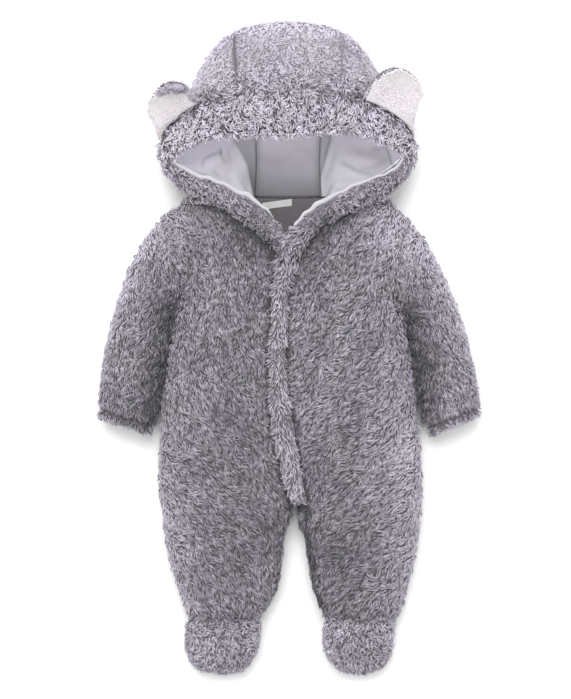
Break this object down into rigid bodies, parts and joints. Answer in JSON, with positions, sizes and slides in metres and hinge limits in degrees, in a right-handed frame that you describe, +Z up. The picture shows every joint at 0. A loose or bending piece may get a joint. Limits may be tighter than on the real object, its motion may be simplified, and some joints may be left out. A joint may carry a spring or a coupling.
{
  "type": "hooded fleece romper",
  "caption": "Baby's hooded fleece romper with round ears, long sleeves, footed legs and a front placket, lying on its back.",
  "frame": {"origin": "on the surface, under the centre of the garment's outline", "axes": "+X to the wearer's left, +Y from the feet to the hood, +Z up out of the front"},
  "size_m": [0.4624, 0.79, 0.1077],
  "materials": {
    "fleece": "long curly pile fleece, mid grey",
    "edge_fleece": "long curly pile fleece, lighter grey",
    "lining": "smooth pale lilac-grey jersey over thin wadding",
    "white_fleece": "short soft white pile",
    "label": "plain white woven label"
  },
  "bodies": {
    "root": {"back_left": "fleece", "back_lining": "lining", "back_right": "fleece", "ear_inner_left": "white_fleece", "ear_inner_right": "white_fleece", "ear_outer_left": "fleece", "ear_outer_right": "fleece", "foot_sole_left": "fleece", "foot_sole_right": "fleece", "foot_top_left": "fleece", "foot_top_right": "fleece", "front_left": "fleece", "front_right": "fleece", "hood_band": "edge_fleece", "hood_lining_left": "lining", "hood_lining_middle": "lining", "hood_lining_right": "lining", "hood_middle": "fleece", "hood_side_left": "fleece", "hood_side_right": "fleece", "label": "label", "placket": "edge_fleece", "sleeve_left": "fleece", "sleeve_right": "fleece"}
  },
  "joints": []
}
